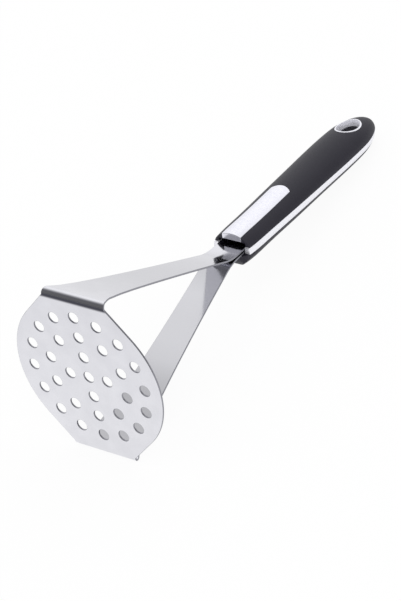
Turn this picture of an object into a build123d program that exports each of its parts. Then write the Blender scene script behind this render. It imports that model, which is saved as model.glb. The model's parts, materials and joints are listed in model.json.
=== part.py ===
"""Potato masher: perforated plate on two sheet arms, with a two-shell grip and a hanging eyelet.

Millimetres. The masher is modelled in its own tool frame first: X runs along the bends of the
plate, Y from the mashing face to the tip of the handle, Z towards the inlay side. The last step
lays it down on a table, resting on its lower bend and on the underside of the handle.
"""
from build123d import *
from math import acos, asin, atan2, cos, degrees, hypot, radians, sin, sqrt, tan
import os

# Stamped sheet: plate, bends, arms and tangs
sheet_t = 1.0
plate_r = 46.0
hole_d = 6.4
edge_land = 6.8
ring_counts = (4, 10, 16)
pattern_turn = 2.5
bend_proud = 0.5
corner_half_w = 20.0
bend_half_w = 18.2
bend_r = 1.9
arm_bend_y = 116.5
arm_bend_r = 5.0
tang_w = 17.0
tang_gap = 1.0
tang_end_y = 182.0
tang_corner_r = 4.0
# width left between the bend (share 1) and the tang (share 0), at shares of the arm's length
arm_length_shares = (0.0, 0.09, 0.20, 0.37, 0.60, 0.85)
arm_width_shares = (1.0, 0.64, 0.45, 0.28, 0.13, 0.03)

# Grip: stations along Y, each with the half width, top and bottom of its oval section
station_y = (112.0, 128.0, 146.0, 172.0, 205.0, 240.0)
station_half_w = (10.8, 11.8, 12.8, 13.3, 13.7, 13.7)
station_top = (7.8, 8.3, 8.4, 8.9, 10.0, 10.7)
station_bottom = (9.8, 10.4, 10.2, 9.8, 9.4, 9.1)
tip_length = 29.5
tip_lift = 1.4
tip_angles = (18, 36, 52, 66, 78, 86)
band_t = 3.5
front_y = 129.5
shell_wall = 2.2
cavity_end_y = 230.0
slot_clear = 0.3

# Nose of the bottom shell, which reaches further forward than the top
nose_y = 124.5
nose_half_w = 10.4
nose_flare_share = 0.2
nose_length = 10.5
nose_corner_r = 5.5

# Inlay panel in the top shell
inlay_w = 12.6
inlay_t = 1.2
inlay_end_y = 181.0
inlay_arch = 2.6
lip_bottom = 4.2
fit_gap = 0.1

# Hanging eyelet
eye_y = 249.0
eye_half_l = 9.0
eye_half_w = 6.8
eye_rim = 1.3
eye_wall = 0.9
eye_proud = 0.35
eye_flange_t = 1.1
eye_split_z = 5.2

# Screws under the inlay
screw_y = (144.0, 170.0)
screw_d = 3.2
screw_head_d = 6.0
screw_head_t = 2.0
screw_reach = 7.6
screw_clear = 0.15
thread_clear = 0.05
boss_d = 8.0

overrun = 5.0
far = 400.0

ring_pitch = (plate_r - hole_d / 2 - edge_land) / len(ring_counts)
bend_reach = plate_r + bend_proud
tang_in = tang_gap / 2
tang_out = tang_in + sheet_t
tang_mid = tang_in + sheet_t / 2
band_z = band_t / 2
bend_centre_y = sheet_t / 2 + bend_r
bend_outer_r = bend_r + sheet_t / 2
cavity_depth = inlay_t + shell_wall
head_seat_z = station_top[1] - inlay_t - 2 * fit_gap - screw_head_t
tip_half_h = (station_top[-1] + station_bottom[-1]) / 2
tip_rise = (station_top[-1] - station_bottom[-1]) / 2


def slab(x_half=far, y_low=-far, y_high=far, z_low=-far, z_high=far):
    """Box between the given planes."""
    middle = Pos(0, (y_low + y_high) / 2, (z_low + z_high) / 2)
    return middle * Box(2 * x_half, y_high - y_low, z_high - z_low)


def across_y(y, z):
    """Plane across the handle's length."""
    return Plane(origin=(0, y, z), x_dir=(1, 0, 0), z_dir=(0, 1, 0))


def grip_form(grow=0):
    """Outer form of the grip, grown or shrunk: one loft whose end sections close the tip."""
    sections = []
    for y, half_w, top, bottom in zip(station_y, station_half_w, station_top, station_bottom):
        half_h = (top + bottom) / 2
        sections.append(across_y(y, top - half_h) * Ellipse(half_w + grow, half_h + grow))
    half_w = station_half_w[-1] + grow
    half_h = tip_half_h + grow
    for angle in tip_angles:
        y = station_y[-1] + (tip_length + grow) * sin(radians(angle))
        share = cos(radians(angle))
        middle = across_y(y, tip_rise + tip_lift * (1 - share))
        sections.append(middle * Ellipse(half_w * share, half_h * share))
    return loft(sections)


def eye_prism(grow):
    """Upright oval prism of the eyelet, grown or shrunk from its rim."""
    oval = Pos(0, eye_y, -far) * Ellipse(eye_half_w + grow, eye_half_l + grow)
    return extrude(oval, amount=2 * far)


def at_screws(diameter, z_low, z_high):
    """The same upright cylinder at each screw."""
    bore = Cylinder(diameter / 2, z_high - z_low, align=(Align.CENTER, Align.CENTER, Align.MIN))
    return [Pos(0, y, z_low) * bore for y in screw_y]


def plate():
    """Flat mashing plate: a disc with two straight-sided ends and rings of holes."""
    corner_distance = hypot(corner_half_w, bend_reach)
    tangent_angle = atan2(bend_reach, corner_half_w) - acos(plate_r / corner_distance)
    tangent_x, tangent_z = plate_r * cos(tangent_angle), plate_r * sin(tangent_angle)
    outline = Circle(plate_r)
    for side in (1, -1):
        right = [(corner_half_w, side * bend_reach), (tangent_x, side * tangent_z)]
        left = [(-x, z) for x, z in reversed(right)]
        outline += make_face(Polyline(*right, *left, close=True))
    holes = [Circle(hole_d / 2)]
    for ring, count in enumerate(ring_counts, start=1):
        half_step = 180 / count if ring % 2 == 0 else 0
        for i in range(count):
            angle = pattern_turn + half_step + 360 * i / count
            holes.append(Rot(Z=angle) * Pos(ring * ring_pitch, 0) * Circle(hole_d / 2))
    return extrude(Plane.ZX.rotated((0, 90, 0)) * (outline - holes), amount=sheet_t)


def arm_outline():
    """Plan of an arm: a bend that narrows a little, a hollow taper, then the parallel tang."""
    half_w = tang_w / 2
    start_y = bend_centre_y + bend_outer_r
    taper = [
        (half_w + (bend_half_w - half_w) * width, start_y + (arm_bend_y - start_y) * length)
        for length, width in zip(arm_length_shares, arm_width_shares)
    ]
    corner_y = tang_end_y - tang_corner_r
    corner_x = half_w - tang_corner_r
    half = make_face(
        [
            Polyline((0, tang_end_y), (0, -overrun), (corner_half_w, -overrun)),
            Polyline((corner_half_w, -overrun), (corner_half_w, 0), taper[0]),
            Spline(*taper, (half_w, arm_bend_y), tangents=[(-1, 1), (0, 1)]),
            Line((half_w, arm_bend_y), (half_w, corner_y)),
            CenterArc((corner_x, corner_y), tang_corner_r, 0, 90),
            Line((corner_x, tang_end_y), (0, tang_end_y)),
        ]
    )
    return half + mirror(half, about=Plane.YZ)


def arm():
    """Upper arm: a strip that leaves the plate, folds back round the bend and ends in a tang."""
    rise, run = bend_reach - tang_mid, arm_bend_y - bend_centre_y
    slope = atan2(rise, run) + asin(bend_r / hypot(rise, run))
    fold_z = tang_mid + (arm_bend_y - sheet_t / 2) * tan(slope)
    middle_line = FilletPolyline(
        (sheet_t / 2, bend_reach - overrun),
        (sheet_t / 2, fold_z),
        (arm_bend_y, tang_mid),
        (tang_end_y, tang_mid),
        radius=[bend_r, arm_bend_r],
    )
    strip = extrude(Plane.YZ * trace(middle_line, sheet_t), amount=corner_half_w, both=True)
    return strip & extrude(arm_outline(), amount=far)


def masher_head():
    """Plate and both arms as one piece of sheet, with the screw holes in the tangs."""
    upper = arm()
    head = plate() + upper + mirror(upper, about=Plane.XY)
    return head - at_screws(screw_d + 2 * screw_clear, -band_z, band_z)


def tang_spacer():
    """Strip that keeps the two tangs a sheet apart inside the grip."""
    low_y = front_y + shell_wall
    strip = slab(tang_w / 2 - shell_wall, low_y, tang_end_y, -tang_in, tang_in)
    return strip - at_screws(screw_d + 2 * screw_clear, -tang_out, tang_out)


def handle_frame():
    """Silver middle layer: a flat frame round the tangs, with the hanging hole through it."""
    frame = grip & slab(y_low=front_y - sheet_t, z_low=-band_z, z_high=band_z)
    slot = slab(tang_w / 2 + slot_clear, nose_y, tang_end_y + slot_clear, -band_t, band_t)
    return frame - slot - eye_prism(eye_wall - eye_rim + fit_gap)


def cavity(z_low, z_high):
    """Hollow of a shell, closed at the front and before the hanging hole."""
    return grip_form(-cavity_depth) & slab(
        y_low=front_y + shell_wall, y_high=cavity_end_y, z_low=z_low, z_high=z_high
    )


def eyelet_seat():
    """Oval hole through the grip with a shallow recess for each flange."""
    recess = eye_prism(fit_gap) - grip_form(eye_proud - eye_flange_t - fit_gap)
    return eye_prism(eye_wall - eye_rim + fit_gap) + recess


def inlay_prism(grow):
    """Upright prism of the inlay's plan: straight sides, open front, arched back end."""
    half_w = inlay_w / 2 + grow
    side_y = inlay_end_y - inlay_arch + grow
    plan = make_face(
        [
            Polyline((half_w, side_y), (half_w, nose_y), (-half_w, nose_y), (-half_w, side_y)),
            ThreePointArc((-half_w, side_y), (0, inlay_end_y + grow), (half_w, side_y)),
        ]
    )
    return extrude(plan, amount=far)


def top_inlay():
    """Bright panel that follows the grip's top, with a lip bent down over its front."""
    panel = grip & inlay_prism(0) & slab(y_low=front_y, z_low=lip_bottom)
    return panel - (grip_form(-inlay_t) & slab(y_low=front_y + inlay_t))


def top_shell():
    """Upper grip half: hollow, with the inlay's seat, the mouth and two screw bosses."""
    shell = grip & slab(y_low=front_y, z_low=band_z)
    shell -= cavity(band_z, far)
    mouth_top = lip_bottom - fit_gap
    shell -= slab(tang_w / 2 + slot_clear, nose_y, front_y + 2 * shell_wall, -band_z, mouth_top)
    roof = grip_form(-cavity_depth + shell_wall / 2)
    for boss in at_screws(boss_d, tang_out, far):
        shell += boss & roof
    under = grip_form(-inlay_t - fit_gap) & slab(y_low=front_y + inlay_t + fit_gap)
    shell -= (inlay_prism(fit_gap) & slab(z_low=mouth_top)) - under
    shell -= at_screws(screw_d + 2 * screw_clear, 0, far)
    shell -= at_screws(screw_head_d + 2 * screw_clear, head_seat_z, far)
    return shell - eyelet_seat()


def nose_keep():
    """Space that the bottom shell may fill: a nose rounded in side view and in plan."""
    depth = station_bottom[1]
    side = Pos(nose_y + nose_length, -band_z) * Ellipse(nose_length, depth)
    side_form = extrude(Plane.YZ * side, amount=far, both=True) + slab(y_low=nose_y + nose_length)
    flare = nose_flare_share * far
    plan = make_face(
        Polyline(
            (nose_half_w, nose_y),
            (nose_half_w + flare, nose_y + far),
            (-nose_half_w - flare, nose_y + far),
            (-nose_half_w, nose_y),
            close=True,
        )
    )
    plan = fillet(plan.vertices().group_by(Axis.Y)[0], nose_corner_r)
    return side_form & extrude(plan, amount=far, both=True)


def bottom_shell():
    """Lower grip half: hollow, with a nose under the arms and two screw bosses."""
    shell = grip & slab(z_high=-band_z) & nose_keep()
    shell -= cavity(-far, -band_z)
    floor = grip_form(-cavity_depth + shell_wall / 2)
    for boss in at_screws(boss_d, -far, -tang_out):
        shell += boss & floor
    shell -= at_screws(screw_d + 2 * thread_clear, -screw_reach - screw_clear, 0)
    return shell - eyelet_seat()


def clamp_screws():
    """Two pan-head screws that pull both shells against the tangs."""
    shanks = at_screws(screw_d, -screw_reach, head_seat_z)
    heads = at_screws(screw_head_d, head_seat_z, head_seat_z + screw_head_t)
    return Part() + [shank + head for shank, head in zip(shanks, heads)]


def eyelet():
    """Whole hanging eyelet: two flanges that follow the grip, joined by an oval tube."""
    proud = grip_form(eye_proud)
    flanges = (proud & eye_prism(0)) - grip_form(eye_proud - eye_flange_t)
    tube = proud & eye_prism(eye_wall - eye_rim)
    return (flanges + tube) - eye_prism(-eye_rim)


def lie_angle():
    """Angle between the handle and the table, from the bend's arc and the tip's oval."""
    length, height = tip_length + eye_proud, tip_half_h + eye_proud
    angle = 0
    round_count = 6
    for _ in range(round_count):
        reach = sqrt((length * sin(angle)) ** 2 + (height * cos(angle)) ** 2)
        drop = bend_reach + tip_rise + (bend_outer_r - reach) / cos(angle)
        angle = atan2(drop, station_y[-1] - bend_centre_y)
    return degrees(angle)


grip = grip_form()
whole_eyelet = eyelet()
nodes = {
    "masher_head": masher_head(),
    "tang_spacer": tang_spacer(),
    "handle_frame": handle_frame(),
    "top_shell": top_shell(),
    "bottom_shell": bottom_shell(),
    "top_inlay": top_inlay(),
    "clamp_screws": clamp_screws(),
    "eyelet_top": whole_eyelet & slab(z_low=eye_split_z),
    "eyelet_bottom": whole_eyelet & slab(z_high=eye_split_z),
}

laid = {name: Rot(X=-lie_angle()) * solid for name, solid in nodes.items()}
box = Compound([solid for piece in laid.values() for solid in piece.solids()]).bounding_box()
on_table = Pos(-box.center().X, -box.center().Y, -box.min.Z)

os.makedirs("parts", exist_ok=True)
for name, solid in laid.items():
    export_step(on_table * solid, f"parts/{name}.step")
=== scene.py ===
"""Potato masher: one folded stainless sheet in a two-shell grip, lying on a pale table.

The masher's own frame has X along the bends of the plate, Y from the mashing face to the tip of
the handle and Z towards the inlay side. Sizes are in millimetres there. lay() turns it into the
frame's metres, with the masher lying down.
"""

from math import acos, asin, atan2, hypot, pi, radians, tan
import json

import bmesh
import bpy
from mathutils import Matrix, Vector
from mathutils.bvhtree import BVHTree
from mathutils.geometry import delaunay_2d_cdt
from mathutils.interpolate import poly_3d_calc
import numpy as np


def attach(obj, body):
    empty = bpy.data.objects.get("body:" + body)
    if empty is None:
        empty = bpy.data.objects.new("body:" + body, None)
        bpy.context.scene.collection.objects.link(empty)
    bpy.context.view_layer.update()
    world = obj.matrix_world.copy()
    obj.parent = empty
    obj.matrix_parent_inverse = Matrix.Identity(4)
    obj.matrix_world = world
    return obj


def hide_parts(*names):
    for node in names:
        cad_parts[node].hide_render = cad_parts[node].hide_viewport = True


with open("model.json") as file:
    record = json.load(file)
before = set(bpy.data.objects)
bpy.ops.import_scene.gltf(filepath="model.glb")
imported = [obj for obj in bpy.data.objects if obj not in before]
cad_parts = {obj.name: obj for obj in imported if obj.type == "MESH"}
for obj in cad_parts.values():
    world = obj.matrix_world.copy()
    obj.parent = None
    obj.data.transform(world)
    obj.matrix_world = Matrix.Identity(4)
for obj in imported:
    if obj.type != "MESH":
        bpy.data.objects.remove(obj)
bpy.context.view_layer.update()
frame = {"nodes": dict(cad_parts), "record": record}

# Camera: a long lens, high over the side of the plate, rolled so that the handle runs up to the
# right. The lens is for 36 mm along the picture's long side.
camera_aim = Vector((0, -0.03758, 0.02022))
camera_azimuth, camera_elevation, camera_roll = radians(45.666), radians(39.47), radians(18.49)
camera_distance = 1.24584
camera_lens = 139.94

camera = bpy.data.objects.new("camera", bpy.data.cameras.new("camera"))
bpy.context.scene.collection.objects.link(camera)
bpy.context.scene.camera = camera
camera.data.lens = camera_lens
turn = Matrix.Rotation(camera_azimuth, 4, "Z") @ Matrix.Rotation(pi / 2 - camera_elevation, 4, "X")
turn = turn @ Matrix.Rotation(-camera_roll, 4, "Z")
step_back = Matrix.Translation((0, 0, camera_distance))
camera.matrix_world = Matrix.Translation(camera_aim) @ turn @ step_back
bpy.context.scene.view_settings.view_transform = "Standard"


# Folded sheet: stamped flat from 1 mm stainless with 31 holes, then folded twice at the plate
# and once on each arm, so that both ends run into the grip side by side. Polished all over.
sheet_t = 1.0
sheet_edge_r = 0.18
edge_angles = np.radians([90, 60, 30, 0])
plate_r = 46.0
hole_d = 6.4
ring_pitch = 12.0
ring_counts = (4, 10, 16)
pattern_turn = radians(2.5)
bend_reach = 45.9
corner_half_w = 20.0
bend_half_w = 18.2
bend_r = 2.4
arm_bend_y = 116.5
arm_bend_r = 28.0
# width left between the bend (1) and the tang (0), at shares of the arm's length
arm_length_shares = np.array([0, 0.09, 0.20, 0.37, 0.60, 0.85, 1])
arm_width_shares = np.array([1, 0.64, 0.45, 0.28, 0.13, 0.03, 0])
arm_first_slope = -1
tang_half_w = 8.5
tang_gap = 1.0
tang_end_y = 182.0
tang_corner_r = 4.0
screw_y = np.array([144.0, 170.0])
screw_hole_d = 3.5
# how finely the outline and the folds are divided
hole_sides = 40
screw_hole_sides = 24
rim_step = radians(2)
tang_corner_step = 10
bend_rows = 17
arm_rows = 33
arm_bend_rows = 7
tang_rows = 5
same_point = 1e-6
# painted shade: how much the sheet's tint shifts per metre up the plate, towards the darker one
painted_shade_slope = -7.0
# how strong the painted dark reflection is, from just before the upper bend to its end
painted_reflection_lead = 1.9
painted_reflection_shares = (
    (0.08, 0.4), (0.14, 0.8), (0.20, 1.0), (0.36, 1.0), (0.40, 0.7), (0.46, 0.55),
    (0.52, 0.7), (0.58, 0.85), (0.64, 0.7), (0.70, 0.35), (0.76, 0.0),
)
# painted shade along the sheet: how bright it is drawn, from the lower tang over the plate to the
# upper tang
painted_shade_reach = 180.0
painted_shade_levels = (
    (-165, 0.75), (-150, 0.85), (-135, 0.83), (-119, 0.83), (-107, 0.79), (-95, 0.66),
    (-83, 0.58), (-71, 0.6), (-55, 0.68), (-50, 1.0), (50, 1.0), (61, 0.92), (82, 0.87),
    (102, 0.82), (127, 0.82), (153, 0.86), (169, 0.95),
)

mount = next(m for m in frame["record"]["mounts"] if m["name"] == "mashing_face")
face_out = np.array(mount["axis"])
axes = np.array([[1, 0, 0], -face_out, np.cross([1, 0, 0], -face_out)])
face_centre = np.array([0, mount["pos_m"][1], mount["pos_m"][2]])


def lay(points):
    """Masher's millimetres to the frame's metres: its three axes are turned, then moved."""
    return np.asarray(points) / 1000 @ axes + face_centre


def curve(x, knots, values, slopes):
    """Cubic Hermite curve through the knots with the given slopes."""
    k = np.clip(np.searchsorted(knots, x, side="right") - 1, 0, len(knots) - 2)
    span = knots[k + 1] - knots[k]
    t = (x - knots[k]) / span
    rise = values[k] * (2 * t**3 - 3 * t**2 + 1) + values[k + 1] * (3 * t**2 - 2 * t**3)
    lean = slopes[k] * (t**3 - 2 * t**2 + t) + slopes[k + 1] * (t**3 - t**2)
    return rise + lean * span


def knot_slopes(knots, values, first, last):
    """Slope at each knot: the parabola's through it and its neighbours, with both ends given."""
    step = np.diff(values) / np.diff(knots)
    weight = np.diff(knots)
    inner = (step[:-1] * weight[1:] + step[1:] * weight[:-1]) / (weight[1:] + weight[:-1])
    return np.concatenate([[first], inner, [last]])


def mitres(loop):
    """Outward normals of a counterclockwise loop, stretched at corners to keep its offset even."""
    along = np.roll(loop, -1, axis=0) - loop
    along /= np.linalg.norm(along, axis=1)[:, None]
    after = np.stack([along[:, 1], -along[:, 0]], axis=1)
    before = np.roll(after, 1, axis=0)
    return (before + after) / (1 + (before * after).sum(axis=1))[:, None]


def inside(points, loops):
    """Even-odd test: a ray towards +X crosses the loops an odd number of times."""
    odd = np.zeros(len(points), bool)
    for loop in loops:
        ends = np.roll(loop, -1, axis=0)
        above = (loop[:, 1] > points[:, None, 1]) != (ends[:, 1] > points[:, None, 1])
        rise = np.where(ends[:, 1] == loop[:, 1], 1, ends[:, 1] - loop[:, 1])
        cross_x = loop[:, 0] + (points[:, None, 1] - loop[:, 1]) * (ends[:, 0] - loop[:, 0]) / rise
        odd ^= (above & (points[:, None, 0] < cross_x)).sum(axis=1) % 2 == 1
    return odd


def blank(loops, thick, edge_r, bars):
    """Flat cut piece: each loop's wall is carried round it with both edges rounded.

    Both faces are filled with triangles along the bars, which are pairs of the first loop's
    points. It returns places (x, s, h), normals and faces.
    """
    lean_in = (np.cos(edge_angles) - 1) * edge_r
    out = np.concatenate([lean_in, lean_in[::-1]])
    high = np.sin(edge_angles) * edge_r + thick / 2 - edge_r
    high = np.concatenate([high, -high[::-1]])
    tilt = np.concatenate([edge_angles, -edge_angles[::-1]])
    count = len(out)
    places, normals, faces, rims, edges = [], [], [], [], []
    first = 0
    for loop in loops:
        side = mitres(loop)
        wall = loop[:, None] + side[:, None] * out[:, None]
        level = np.broadcast_to(high[:, None], (*wall.shape[:2], 1))
        places.append(np.concatenate([wall, level], axis=2).reshape(-1, 3))
        unit = side / np.linalg.norm(side, axis=1)[:, None]
        rise = np.broadcast_to(np.sin(tilt)[:, None], (*wall.shape[:2], 1))
        normal = np.concatenate([unit[:, None] * np.cos(tilt)[:, None], rise], axis=2)
        normals.append(normal.reshape(-1, 3))
        here = np.arange(len(loop))
        after = (here + 1) % len(loop)
        step = np.arange(count - 1)
        low = first + here[:, None] * count + step
        next_low = first + after[:, None] * count + step
        quads = np.stack([low + 1, next_low + 1, next_low, low], axis=2)
        faces.extend(quads.reshape(-1, 4).tolist())
        start = sum(len(rim) for rim in rims)
        edges.extend(np.stack([start + here, start + after], axis=1).tolist())
        rims.append(wall[:, 0])
        first += len(loop) * count
    edges.extend(bars)
    flat = np.concatenate(rims)
    corners = [Vector(point) for point in flat]
    made, _, triangles, origin, _, _ = delaunay_2d_cdt(corners, edges, [], 0, same_point)
    triangles = np.array(triangles)
    source = np.array([o[0] for o in origin])
    made = np.array([tuple(p) for p in made])
    centres = made[triangles].mean(axis=1)
    triangles = source[triangles[inside(centres, rims)]]
    a, b, c = (flat[triangles[:, i]] for i in range(3))
    turned = np.cross(b - a, c - a) < 0
    triangles[turned] = triangles[turned][:, ::-1]
    faces.extend((triangles * count).tolist())
    faces.extend((triangles * count + count - 1)[:, ::-1].tolist())
    return np.concatenate(places), np.concatenate(normals), faces


def shaped(name, places, normals, faces, bend):
    """Mesh of a blank bent by a function of (x, s, h), with its normals carried along by the
    function's slopes, and the flat places kept as UV in metres."""
    nudges = 1e-3 * np.eye(3)
    steps = [bend(*(places + nudge).T) - bend(*(places - nudge).T) for nudge in nudges]
    pushed = sum(
        normals[:, i, None] * np.cross(steps[(i + 1) % 3], steps[(i + 2) % 3]) for i in range(3)
    )
    pushed /= np.linalg.norm(pushed, axis=1)[:, None]
    mesh = bpy.data.meshes.new(name)
    mesh.from_pydata(lay(bend(*places.T)).tolist(), [], faces)
    mesh.shade_smooth()
    corner = np.zeros(len(mesh.loops), int)
    mesh.loops.foreach_get("vertex_index", corner)
    flat = mesh.uv_layers.new(name="flat")
    flat.uv.foreach_set("vector", (places[corner, :2] / 1000).astype(np.float32).ravel())
    mesh.normals_split_custom_set_from_vertices((pushed @ axes).tolist())
    piece = bpy.data.objects.new(name, mesh)
    bpy.context.scene.collection.objects.link(piece)
    return piece


tang_z = (tang_gap + sheet_t) / 2
arm_rise = bend_reach - tang_z
arm_run = arm_bend_y - sheet_t / 2 - bend_r
arm_slope = atan2(arm_rise, arm_run) + asin(bend_r / hypot(arm_rise, arm_run))
bend_end_y = sheet_t / 2 + bend_r * (1 + np.sin(arm_slope))
bend_end_z = bend_reach + bend_r * np.cos(arm_slope)
arm_length = hypot(arm_bend_y - bend_end_y, bend_end_z - tang_z) - arm_bend_r * tan(arm_slope / 2)
run_lengths = np.array([
    bend_reach, bend_r * (pi / 2 + arm_slope), arm_length, arm_bend_r * arm_slope,
])
run_turns = np.array([0, 1 / bend_r, 0, -1 / arm_bend_r, 0])
run_start = np.concatenate([[0], np.cumsum(run_lengths)])
run_heading = np.concatenate([[0], np.cumsum(run_lengths * run_turns[:-1])])


def along_run(k, s):
    """Point (y, z) reached after s on run k: a straight line, or the arc of its turn."""
    turn_rate = np.where(run_turns[k] == 0, 1, run_turns[k])
    heading = run_heading[k] + run_turns[k] * s
    arc_y = (np.cos(run_heading[k]) - np.cos(heading)) / turn_rate
    arc_z = (np.sin(heading) - np.sin(run_heading[k])) / turn_rate
    straight = run_turns[k] == 0
    step_y = np.where(straight, s * np.sin(run_heading[k]), arc_y)
    step_z = np.where(straight, s * np.cos(run_heading[k]), arc_z)
    return step_y, step_z, heading


run_points = [np.array([sheet_t / 2, 0.0])]
for number, length in enumerate(run_lengths):
    step_y, step_z, _ = along_run(np.array(number), np.array(length))
    run_points.append(run_points[-1] + np.array([step_y, step_z]))
run_points = np.array(run_points)
tang_end_s = run_start[4] + tang_end_y - run_points[4, 0]


def fold(x, s, h):
    """Folded sheet: the middle line is followed for s, and the point lies h outside it. The lower
    half is the mirror image."""
    k = np.searchsorted(run_start, np.abs(s), side="right") - 1
    k = np.clip(k, 0, len(run_lengths))
    step_y, step_z, heading = along_run(k, np.abs(s) - run_start[k])
    y = run_points[k, 0] + step_y - h * np.cos(heading)
    z = run_points[k, 1] + step_z + h * np.sin(heading)
    return np.stack([x, y, np.where(s < 0, -z, z)], axis=1)


def circle(x, s, diameter, sides):
    """Clockwise ring of points, so that its outward side is the hole."""
    angle = -2 * pi * np.arange(sides) / sides
    return np.column_stack([x + np.cos(angle) * diameter / 2, s + np.sin(angle) * diameter / 2])


def sheet_outline():
    """Quarter of the blank from the plate's rim to the tang's end, mirrored twice, and the pairs
    of points across each arm."""
    reach = hypot(corner_half_w, bend_reach)
    touch = atan2(bend_reach, corner_half_w) - acos(plate_r / reach)
    rim = np.append(np.arange(rim_step / 2, touch, rim_step), touch)
    rim = plate_r * np.column_stack([np.cos(rim), np.sin(rim)])
    rows = np.concatenate([
        np.linspace(run_start[1], run_start[2], bend_rows)[:-1],
        np.linspace(run_start[2], run_start[3], arm_rows)[:-1],
        np.linspace(run_start[3], run_start[4], arm_bend_rows)[:-1],
        np.linspace(run_start[4], tang_end_s - tang_corner_r, tang_rows),
    ])
    start_y = sheet_t + 2 * bend_r
    y = fold(rows * 0, rows, rows * 0)[:, 1]
    knots = start_y + arm_length_shares * (arm_bend_y - start_y)
    widths = tang_half_w + arm_width_shares * (bend_half_w - tang_half_w)
    taper = curve(y, knots, widths, knot_slopes(knots, widths, arm_first_slope, 0))
    narrowing = corner_half_w + (bend_half_w - corner_half_w) * y / start_y
    taper = np.where(y < start_y, narrowing, np.where(y > arm_bend_y, tang_half_w, taper))
    arm = np.column_stack([taper, rows])
    corner = np.radians(np.arange(tang_corner_step, 91, tang_corner_step))
    end = np.column_stack([np.cos(corner), np.sin(corner)]) * tang_corner_r
    end += [tang_half_w - tang_corner_r, tang_end_s - tang_corner_r]
    quarter = np.concatenate([rim, arm, end])
    n = len(quarter)
    upper = np.concatenate([quarter, quarter[::-1] * [-1, 1]])
    loop = np.concatenate([upper, upper[::-1] * [1, -1]])
    pair = len(rim) + np.arange(len(arm))
    bars = np.concatenate([
        np.column_stack([pair, 2 * n - 1 - pair]),
        np.column_stack([4 * n - 1 - pair, 2 * n + pair]),
    ])
    return loop, bars.tolist()


def sheet_holes():
    """Centre hole, three rings of holes and the screw holes of both tangs."""
    holes = [circle(0, 0, hole_d, hole_sides)]
    for ring, count in enumerate(ring_counts, start=1):
        ring_r = ring * ring_pitch
        half_step = pi / count if ring % 2 == 0 else 0
        for angle in pattern_turn + half_step + 2 * pi * np.arange(count) / count:
            holes.append(circle(ring_r * np.cos(angle), ring_r * np.sin(angle), hole_d, hole_sides))
    for s in tang_end_s - (tang_end_y - screw_y):
        holes.append(circle(0, s, screw_hole_d, screw_hole_sides))
        holes.append(circle(0, -s, screw_hole_d, screw_hole_sides))
    return holes


def linear(hex_colour):
    """sRGB hex value to the linear colour that a shader takes."""
    srgb = np.array([int(hex_colour[i : i + 2], 16) / 255 for i in (1, 3, 5)])
    rgb = np.where(srgb <= 0.04045, srgb / 12.92, ((srgb + 0.055) / 1.055) ** 2.4)
    return (*rgb.tolist(), 1.0)


def node(tree, kind, inputs=None, **settings):
    """Adds a node with its settings, and sets its inputs. A pair (node, output) becomes a link."""
    made = tree.nodes.new(kind)
    for name, value in settings.items():
        setattr(made, name, value)
    for name, value in (inputs or {}).items():
        if isinstance(value, tuple) and isinstance(value[0], bpy.types.Node):
            tree.links.new(value[0].outputs[value[1]], made.inputs[name])
        else:
            made.inputs[name].default_value = value
    return made


def new_material(name):
    """Empty material of that name, and its tree."""
    material = bpy.data.materials.new(name)
    material.use_nodes = True
    material.node_tree.nodes.clear()
    return material, material.node_tree


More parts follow.
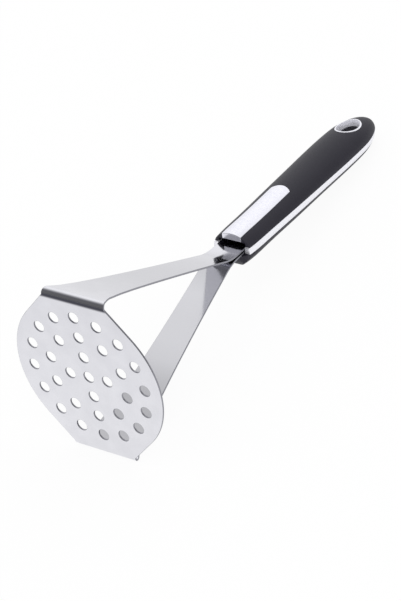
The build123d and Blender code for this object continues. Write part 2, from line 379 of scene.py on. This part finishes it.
def polished_stainless():
    """Stainless sheet, polished along its length: near mirror with hairlines 0.2 mm apart, drawn
    that coarse so that they show. A dark band along the plate's upper bend is a painted reflection,
    darker than the sheet. The arms carry painted shade, darker than the plate, most of all on the
    lower arm close behind it, and the upper half of the sheet is tinted darker as painted shade."""
    material, tree = new_material("polished_stainless_sheet")
    place = node(tree, "ShaderNodeUVMap", uv_map="flat")
    hair = node(tree, "ShaderNodeMapping", {"Vector": (place, "UV"), "Scale": (5000, 90, 1)})
    hairlines = node(
        tree, "ShaderNodeTexNoise", {"Vector": (hair, "Vector"), "Scale": 1, "Detail": 3},
    )
    cloud = node(tree, "ShaderNodeTexNoise", {"Vector": (place, "UV"), "Scale": 90, "Detail": 2})
    rough = node(
        tree, "ShaderNodeMapRange",
        {
            "Value": (hairlines, "Fac"), "From Min": 0.3, "From Max": 0.7,
            "To Min": 0.07, "To Max": 0.16,
        },
    )
    axis = node(tree, "ShaderNodeSeparateXYZ", {"Vector": (place, "UV")})
    # painted shade: the tint darkens up the sheet, under a random cloud of tone
    cloud_and_painted_shade = node(
        tree, "ShaderNodeMath", {0: (axis, "Y"), 1: painted_shade_slope, 2: (cloud, "Fac")},
        operation="MULTIPLY_ADD",
    )
    tint = node(
        tree, "ShaderNodeMix",
        {"Factor": (cloud_and_painted_shade, "Value"), "A": linear("#d8d8de"), "B": linear("#e9e9ee")},
        data_type="RGBA",
    )
    # painted reflection: a dark band mixed into the sheet's colour along the upper bend
    bend = node(
        tree, "ShaderNodeMapRange",
        {
            "Value": (axis, "Y"), "From Min": (run_start[1] - painted_reflection_lead) / 1000,
            "From Max": run_start[2] / 1000,
        },
    )
    painted_reflection_band = node(tree, "ShaderNodeValToRGB", {"Fac": (bend, "Result")})
    ramp = painted_reflection_band.color_ramp
    ramp.elements[0].color = ramp.elements[1].color = (0, 0, 0, 1)
    for share, strength in painted_reflection_shares:
        ramp.elements.new(share).color = (strength, strength, strength, 1)
    with_painted_reflection = node(
        tree, "ShaderNodeMix", {"Factor": (painted_reflection_band, "Color"), "B": linear("#44444d")},
        data_type="RGBA",
    )
    # painted shade: the sheet drawn darker along its arms than on the plate, most on the lower arm
    along = node(
        tree, "ShaderNodeMapRange",
        {"Value": (axis, "Y"), "From Min": -painted_shade_reach / 1000, "From Max": painted_shade_reach / 1000},
    )
    lengthwise_pattern = node(tree, "ShaderNodeValToRGB", {"Fac": (along, "Result")})
    ramp = lengthwise_pattern.color_ramp
    ramp.elements[0].color = ramp.elements[1].color = (1, 1, 1, 1)
    for reach, level in painted_shade_levels:
        ramp.elements.new((reach / painted_shade_reach + 1) / 2).color = (level, level, level, 1)
    shaded = node(tree, "ShaderNodeMix", {"Factor": 1.0}, data_type="RGBA", blend_type="MULTIPLY")
    tree.links.new(tint.outputs["Result"], shaded.inputs["A"])
    tree.links.new(lengthwise_pattern.outputs["Color"], shaded.inputs["B"])
    tree.links.new(shaded.outputs["Result"], with_painted_reflection.inputs["A"])
    bump = node(
        tree, "ShaderNodeBump",
        {"Height": (hairlines, "Fac"), "Strength": 0.12, "Distance": 0.00002},
    )
    shader = node(
        tree, "ShaderNodeBsdfPrincipled",
        {"Metallic": 1, "Roughness": (rough, "Result"), "Normal": (bump, "Normal")},
    )
    tree.links.new(with_painted_reflection.outputs["Result"], shader.inputs["Base Color"])
    node(tree, "ShaderNodeOutputMaterial", {"Surface": (shader, "BSDF")})
    return material


def sheared_stainless():
    """Sheared edge of the sheet, round the outline and in the holes: duller and darker than the
    polished faces, with fine tearing across it, drawn 0.3 mm wide."""
    material, tree = new_material("sheared_stainless_edge")
    place = node(tree, "ShaderNodeTexCoord")
    tears = node(
        tree, "ShaderNodeTexNoise", {"Vector": (place, "Object"), "Scale": 3300, "Detail": 2},
    )
    tint = node(
        tree, "ShaderNodeMix",
        {"Factor": (tears, "Fac"), "A": linear("#88888f"), "B": linear("#a4a4ac")},
        data_type="RGBA",
    )
    shader = node(tree, "ShaderNodeBsdfPrincipled", {"Metallic": 1, "Roughness": 0.4})
    tree.links.new(tint.outputs["Result"], shader.inputs["Base Color"])
    node(tree, "ShaderNodeOutputMaterial", {"Surface": (shader, "BSDF")})
    return material


outline, across = sheet_outline()
flat_sheet = blank([outline, *sheet_holes()], sheet_t, sheet_edge_r, across)
head = shaped("folded_sheet", *flat_sheet, fold)
head.data.materials.append(polished_stainless())
head.data.materials.append(sheared_stainless())
corner_counts = np.zeros(len(head.data.polygons), np.int32)
head.data.polygons.foreach_get("loop_total", corner_counts)
head.data.polygons.foreach_set("material_index", (corner_counts == 4).astype(np.int32))
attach(head, "root")
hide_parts("masher_head")


# Grip shells: two black mouldings with a soft-touch coat, hollow inside, closed over the tangs and
# the silver frame and pulled together by screws. Each CAD solid is copied, its doubles are merged
# and its crisp edges are rounded as a mould leaves them.
shell_edge_r = 0.35
crisp_angle = radians(35)
level_angle = radians(0.1)
round_steps = 3
# in metres: how close two points are when they are one, and how short a sliver is
same_place = 1e-6
sliver = 2e-5


def rounded(name, source, edge_r, bent=None, bent_r=0):
    """Copy of a CAD node with rounded edges. Edges for which bent(place in the masher's
    millimetres) holds get the larger radius first, and the slivers that this leaves are merged,
    because they would hold the other edges crisp. Where a corner still lies on the CAD surface it
    keeps that surface's own normal."""
    cad = frame["nodes"][source].data
    form = bmesh.new()
    form.from_mesh(cad)
    bmesh.ops.remove_doubles(form, verts=form.verts, dist=same_place)
    bmesh.ops.dissolve_limit(form, angle_limit=level_angle, verts=form.verts, edges=form.edges)
    for radius, wanted in ((bent_r, bent), (edge_r, lambda place: True)):
        if wanted is None:
            continue
        crisp = [edge for edge in form.edges if edge.calc_face_angle() > crisp_angle]
        middles = np.array([(edge.verts[0].co + edge.verts[1].co) / 2 for edge in crisp])
        places = (middles - face_centre) @ axes.T * 1000
        chosen = [edge for edge, place in zip(crisp, places) if wanted(place)]
        bmesh.ops.bevel(
            form, geom=chosen, offset=radius / 1000, offset_type="OFFSET", segments=round_steps,
            profile=0.5, affect="EDGES", clamp_overlap=True,
        )
        if wanted is bent:
            bmesh.ops.remove_doubles(form, verts=form.verts, dist=sliver)
    mesh = bpy.data.meshes.new(name)
    form.to_mesh(mesh)
    form.free()
    mesh.shade_smooth()
    corners = [vertex.co for vertex in cad.vertices]
    triangles = [tuple(face.vertices) for face in cad.polygons]
    surface = BVHTree.FromPolygons(corners, triangles)
    own = [cad.corner_normals[i].vector for i in range(len(cad.loops))]
    normals = []
    for vertex in mesh.vertices:
        place, _, number, gap = surface.find_nearest(vertex.co)
        face = cad.polygons[number]
        shares = poly_3d_calc([corners[i] for i in face.vertices], place)
        blend = sum((share * own[i] for share, i in zip(shares, face.loop_indices)), Vector())
        normals.append(blend.normalized() if gap < edge_r / 1e5 else vertex.normal)
    mesh.normals_split_custom_set_from_vertices(normals)
    piece = bpy.data.objects.new(name, mesh)
    bpy.context.scene.collection.objects.link(piece)
    return piece


def soft_touch_black():
    """Soft-touch coat on black polypropylene: a blue-black satin with a very fine grain. The grain
    is drawn 0.4 mm wide so that it shows."""
    material, tree = new_material("soft_touch_coat_on_polypropylene")
    place = node(tree, "ShaderNodeTexCoord")
    grain = node(
        tree, "ShaderNodeTexNoise", {"Vector": (place, "Object"), "Scale": 2500, "Detail": 3},
    )
    cloud = node(
        tree, "ShaderNodeTexNoise", {"Vector": (place, "Object"), "Scale": 60, "Detail": 2},
    )
    tint = node(
        tree, "ShaderNodeMix",
        {"Factor": (cloud, "Fac"), "A": linear("#201f2a"), "B": linear("#262430")},
        data_type="RGBA",
    )
    rough = node(
        tree, "ShaderNodeMapRange",
        {"Value": (grain, "Fac"), "From Min": 0.3, "From Max": 0.7, "To Min": 0.42, "To Max": 0.58},
    )
    bump = node(
        tree, "ShaderNodeBump",
        {"Height": (grain, "Fac"), "Strength": 0.25, "Distance": 0.00003},
    )
    shader = node(
        tree, "ShaderNodeBsdfPrincipled",
        {"Roughness": (rough, "Result"), "Normal": (bump, "Normal"), "IOR": 1.4},
    )
    tree.links.new(tint.outputs["Result"], shader.inputs["Base Color"])
    node(tree, "ShaderNodeOutputMaterial", {"Surface": (shader, "BSDF")})
    return material


coat = soft_touch_black()
for source in ("top_shell", "bottom_shell"):
    shell = rounded(source.replace("shell", "grip_half"), source, shell_edge_r)
    shell.data.materials.append(coat)
    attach(shell, "root")
    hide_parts(source)


# Silver frame: the middle layer of the grip, moulded in ABS and sprayed with a metallic silver.
# Only its edge shows, as a band along both sides and round the tip.
band_edge_r = 0.3


def metallic_spray():
    """Silver spray paint: aluminium flakes in clear lacquer, so partly a metal and partly a pale
    gloss, with a soft bright sheen and a faint speckle, drawn 0.3 mm wide."""
    material, tree = new_material("silver_sprayed_abs")
    place = node(tree, "ShaderNodeTexCoord")
    flakes = node(tree, "ShaderNodeTexVoronoi", {"Vector": (place, "Object"), "Scale": 3300})
    tint = node(
        tree, "ShaderNodeMix",
        {"Factor": (flakes, "Distance"), "A": linear("#fafaff"), "B": linear("#f0f0f7")},
        data_type="RGBA",
    )
    rough = node(
        tree, "ShaderNodeMapRange",
        {
            "Value": (flakes, "Distance"), "From Min": 0, "From Max": 0.8,
            "To Min": 0.24, "To Max": 0.34,
        },
    )
    shader = node(
        tree, "ShaderNodeBsdfPrincipled", {"Roughness": (rough, "Result"), "Metallic": 0.6},
    )
    tree.links.new(tint.outputs["Result"], shader.inputs["Base Color"])
    node(tree, "ShaderNodeOutputMaterial", {"Surface": (shader, "BSDF")})
    return material


band = rounded("silver_band", "handle_frame", band_edge_r)
band.data.materials.append(metallic_spray())
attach(band, "root")
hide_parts("handle_frame")


# Inlay: a pressed panel of bright aluminium let into the top half. It follows the grip's form and
# is bent down over its front, where it makes the upper lip of the mouth.
panel_edge_r = 0.25
panel_bend_r = 0.9
panel_front_y = 129.5
panel_lip_z = 4.2


def satin_aluminium():
    """Bright-dipped aluminium sheet with a satin polish along the grip: a white metal with soft
    reflections, mottled over 1.4 mm by the dip. Its polishing lines are 0.15 mm apart, drawn that
    coarse so that they show."""
    material, tree = new_material("bright_dipped_aluminium")
    place = node(tree, "ShaderNodeTexCoord")
    lines = node(
        tree, "ShaderNodeMapping", {"Vector": (place, "Object"), "Scale": (6500, 60, 6500)},
    )
    lengthwise_pattern = node(
        tree, "ShaderNodeTexNoise", {"Vector": (lines, "Vector"), "Scale": 1, "Detail": 2},
    )
    mottle = node(
        tree, "ShaderNodeTexNoise", {"Vector": (place, "Object"), "Scale": 700, "Detail": 2},
    )
    tint = node(
        tree, "ShaderNodeMix",
        {"Factor": (mottle, "Fac"), "A": linear("#f6f6fc"), "B": linear("#dcdce8")},
        data_type="RGBA",
    )
    rough = node(
        tree, "ShaderNodeMapRange",
        {
            "Value": (lengthwise_pattern, "Fac"), "From Min": 0.3, "From Max": 0.7,
            "To Min": 0.14, "To Max": 0.24,
        },
    )
    shader = node(
        tree, "ShaderNodeBsdfPrincipled", {"Roughness": (rough, "Result"), "Metallic": 1},
    )
    tree.links.new(tint.outputs["Result"], shader.inputs["Base Color"])
    node(tree, "ShaderNodeOutputMaterial", {"Surface": (shader, "BSDF")})
    return material


def on_front_fold(place):
    """True on the outer edge where the panel turns down into its lip."""
    return abs(place[1] - panel_front_y) < panel_edge_r and place[2] > panel_lip_z + panel_bend_r


panel = rounded("bright_panel", "top_inlay", panel_edge_r, on_front_fold, panel_bend_r)
panel.data.materials.append(satin_aluminium())
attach(panel, "root")
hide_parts("top_inlay")


# Hanging eyelet: a chromed ring pressed into the top of the grip, with a rolled rim and a short
# wall, over a dark nylon sleeve that lines the rest of the hole.
eye_y = 249.0
eye_half_l = 9.0
eye_half_w = 6.8
eye_rim = 1.3
eye_wall = 0.9
eye_split_z = 5.2
# rolled rim: how far it laps over the grip, its width and height, and how deep it is let in
eye_lip = 0.25
eye_roll_w = 0.85
eye_proud = 0.32
eye_sink = 0.9
eye_points = 144
roll_points = 13
ring_sharp_angle = radians(40)
# the grip's form under the ring
grip_y = np.array([205.0, 240.0])
grip_half_w = 13.7
grip_top = np.array([10.0, 10.7])
grip_bottom = np.array([9.4, 9.1])
tip_length = 29.5
tip_lift = 1.4


def grip_height(x, y):
    """Height of the grip's top: a half oval. Past the last section its width and height shrink as
    an ellipse while its middle lifts a little."""
    high = np.interp(y, grip_y, (grip_top + grip_bottom) / 2)
    middle = np.interp(y, grip_y, (grip_top - grip_bottom) / 2)
    shrink = np.sqrt(1 - (np.maximum(y - grip_y[-1], 0) / tip_length) ** 2)
    return middle + tip_lift * (1 - shrink) + high * np.sqrt(shrink**2 - (x / grip_half_w) ** 2)


def oval_ring(name, out, high, floor_z):
    """Closed profile carried round the eyelet's oval: each point stands out from the oval by its
    offset, and high above the grip's form, or at floor_z where high is nan."""
    t = np.linspace(0, 2 * pi, eye_points, endpoint=False)[:, None]
    side = np.stack([np.cos(t) * eye_half_l, np.sin(t) * eye_half_w], axis=2)
    side /= np.linalg.norm(side, axis=2)[:, :, None]
    x = np.cos(t) * eye_half_w + side[:, :, 0] * out
    y = eye_y + np.sin(t) * eye_half_l + side[:, :, 1] * out
    z = np.where(np.isnan(high), floor_z, grip_height(x, y) + high)
    rows, count = x.shape
    first, step = np.meshgrid(np.arange(rows), np.arange(count), indexing="ij")
    after, beside = (first + 1) % rows, (step + 1) % count
    here, there = first * count, after * count
    faces = np.stack([here + step, there + step, there + beside, here + beside], axis=2)
    places = lay(np.stack([x, y, z], axis=2).reshape(-1, 3))
    mesh = bpy.data.meshes.new(name)
    mesh.from_pydata(places.tolist(), [], faces.reshape(-1, 4).tolist())
    mesh.shade_smooth()
    mesh.set_sharp_from_angle(angle=ring_sharp_angle)
    ring = bpy.data.objects.new(name, mesh)
    bpy.context.scene.collection.objects.link(ring)
    return ring


def bright_chrome():
    """Chromium plate on ABS: a bright bluish white, drawn partly as a pale gloss so that its
    inside stays light, with a faint ripple of the moulding below, 3 mm wide."""
    material, tree = new_material("chromium_plated_abs")
    place = node(tree, "ShaderNodeTexCoord")
    ripple = node(
        tree, "ShaderNodeTexNoise", {"Vector": (place, "Object"), "Scale": 330, "Detail": 1},
    )
    bump = node(
        tree, "ShaderNodeBump",
        {"Height": (ripple, "Fac"), "Strength": 0.2, "Distance": 0.00005},
    )
    shader = node(
        tree, "ShaderNodeBsdfPrincipled",
        {
            "Base Color": linear("#f4f4fb"), "Metallic": 0.3, "Roughness": 0.16,
            "Normal": (bump, "Normal"),
        },
    )
    node(tree, "ShaderNodeOutputMaterial", {"Surface": (shader, "BSDF")})
    return material


roll = np.linspace(0, pi, roll_points)
roll_out = eye_lip + (np.cos(roll) - 1) * eye_roll_w / 2
roll_high = np.sin(roll) * eye_proud
wall_out = np.array([-eye_rim, eye_wall - eye_rim, eye_wall - eye_rim, 0, 0])
wall_high = np.array([np.nan, np.nan, -eye_sink, -eye_sink, -eye_proud / 4])
ring_out = np.append(roll_out, wall_out)
ring_high = np.append(roll_high, wall_high)
ring = oval_ring("eyelet_ring", ring_out, ring_high, eye_split_z)
ring.data.materials.append(bright_chrome())
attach(ring, "root")
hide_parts("eyelet_top")


# Inner pieces: the nylon sleeve under the eyelet, the nylon strip that keeps the tangs apart, and
# two zinc-plated screws under the inlay. They are the CAD solids with their own finish.
def moulded_nylon():
    """Dark nylon: a dull moulded charcoal, slightly mottled at 2 mm by its glass fibres."""
    material, tree = new_material("glass_filled_nylon")
    place = node(tree, "ShaderNodeTexCoord")
    mottle = node(
        tree, "ShaderNodeTexNoise", {"Vector": (place, "Object"), "Scale": 500, "Detail": 3},
    )
    tint = node(
        tree, "ShaderNodeMix",
        {"Factor": (mottle, "Fac"), "A": linear("#3a3940"), "B": linear("#47464e")},
        data_type="RGBA",
    )
    shader = node(tree, "ShaderNodeBsdfPrincipled", {"Roughness": 0.55, "IOR": 1.5})
    tree.links.new(tint.outputs["Result"], shader.inputs["Base Color"])
    node(tree, "ShaderNodeOutputMaterial", {"Surface": (shader, "BSDF")})
    return material


def zinc_plate():
    """Zinc plate on steel: a bluish grey metal, passivated unevenly over about 1 mm."""
    material, tree = new_material("zinc_plated_steel")
    place = node(tree, "ShaderNodeTexCoord")
    patch = node(
        tree, "ShaderNodeTexNoise", {"Vector": (place, "Object"), "Scale": 1000, "Detail": 2},
    )
    tint = node(
        tree, "ShaderNodeMix",
        {"Factor": (patch, "Fac"), "A": linear("#b4b8c0"), "B": linear("#c8c8ca")},
        data_type="RGBA",
    )
    shader = node(tree, "ShaderNodeBsdfPrincipled", {"Roughness": 0.35, "Metallic": 1})
    tree.links.new(tint.outputs["Result"], shader.inputs["Base Color"])
    node(tree, "ShaderNodeOutputMaterial", {"Surface": (shader, "BSDF")})
    return material


nylon = moulded_nylon()
finishes = {"eyelet_bottom": nylon, "tang_spacer": nylon, "clamp_screws": zinc_plate()}
for source, finish in finishes.items():
    solid = frame["nodes"][source]
    solid.data.materials.clear()
    solid.data.materials.append(finish)


# Table and light: a white table in a white studio. The light on the table is even. The metal sees
# the studio brightest high behind the masher, and a quarter as bright low behind the camera.
floor_half = 3.0
table_glow = {"camera": 0.93, "glossy": 0.7}

floor_mesh = bpy.data.meshes.new("floor")
floor_corners = np.array([(-1, -1, 0), (1, -1, 0), (1, 1, 0), (-1, 1, 0)]) * floor_half
floor_mesh.from_pydata(floor_corners.tolist(), [], [(0, 1, 2, 3)])
floor = bpy.data.objects.new("floor", floor_mesh)
bpy.context.scene.collection.objects.link(floor)
floor_paint, tree = new_material("white_table")
rays = node(tree, "ShaderNodeLightPath")
mirrored = node(
    tree, "ShaderNodeMath", {0: (rays, "Is Glossy Ray"), 1: (rays, "Is Transmission Ray")},
    operation="MAXIMUM",
)
in_metal = node(
    tree, "ShaderNodeMath", {0: (mirrored, "Value"), 1: table_glow["glossy"]},
    operation="MULTIPLY",
)
in_view = node(
    tree, "ShaderNodeMath", {0: (rays, "Is Camera Ray"), 1: table_glow["camera"]},
    operation="MULTIPLY",
)
glow_share = node(
    tree, "ShaderNodeMath", {0: (in_metal, "Value"), 1: (in_view, "Value")},
    operation="MAXIMUM",
)
paint = node(tree, "ShaderNodeBsdfDiffuse", {"Color": linear("#f7f7f7")})
glow = node(tree, "ShaderNodeEmission", {"Color": (1, 1, 1, 1), "Strength": 1})
mixed = node(
    tree, "ShaderNodeMixShader",
    {"Fac": (glow_share, "Value"), 1: (paint, "BSDF"), 2: (glow, "Emission")},
)
node(tree, "ShaderNodeOutputMaterial", {"Surface": (mixed, "Shader")})
floor_mesh.materials.append(floor_paint)

# strength seen in the metal, from the side away from light_side (0) to light_side itself (1)
light_side = (-0.5025, 0.7035, 0.5025)
studio_shades = (
    (0.0, 0.3), (0.4, 0.3), (0.55, 0.36), (0.61, 0.5), (0.68, 0.6), (0.75, 0.7), (0.9, 0.95),
    (1.0, 1.15),
)
even_light = 1.05

world = bpy.data.worlds.new("studio")
bpy.context.scene.world = world
world.use_nodes = True
tree = world.node_tree
tree.nodes.clear()
rays = node(tree, "ShaderNodeLightPath")
direction = node(tree, "ShaderNodeTexCoord")
towards = node(
    tree, "ShaderNodeVectorMath", {0: (direction, "Generated"), 1: light_side},
    operation="DOT_PRODUCT",
)
turned = node(
    tree, "ShaderNodeMapRange", {"Value": (towards, "Value"), "From Min": -1, "From Max": 1},
)
shade = node(tree, "ShaderNodeFloatCurve", {"Value": (turned, "Result")})
shade_curve = shade.mapping.curves[0]
top_shade = studio_shades[-1][1]
shade_curve.points[0].location = (0, studio_shades[0][1] / top_shade)
shade_curve.points[1].location = (1, 1)
for side_share, strength in studio_shades[1:-1]:
    shade_curve.points.new(side_share, strength / top_shade)
shade.mapping.update()
studio = node(tree, "ShaderNodeMath", {0: (shade, "Value"), 1: top_shade}, operation="MULTIPLY")
seen_in_metal = node(
    tree, "ShaderNodeBackground", {"Color": (1, 1, 1, 1), "Strength": (studio, "Value")},
)
even = node(tree, "ShaderNodeBackground", {"Color": (1, 1, 1, 1), "Strength": even_light})
white = node(tree, "ShaderNodeBackground", {"Color": (1, 1, 1, 1), "Strength": 1})
lit = node(
    tree, "ShaderNodeMixShader",
    {"Fac": (rays, "Is Glossy Ray"), 1: (even, "Background"), 2: (seen_in_metal, "Background")},
)
mixed = node(
    tree, "ShaderNodeMixShader",
    {"Fac": (rays, "Is Camera Ray"), 1: (lit, "Shader"), 2: (white, "Background")},
)
node(tree, "ShaderNodeOutputWorld", {"Surface": (mixed, "Shader")})
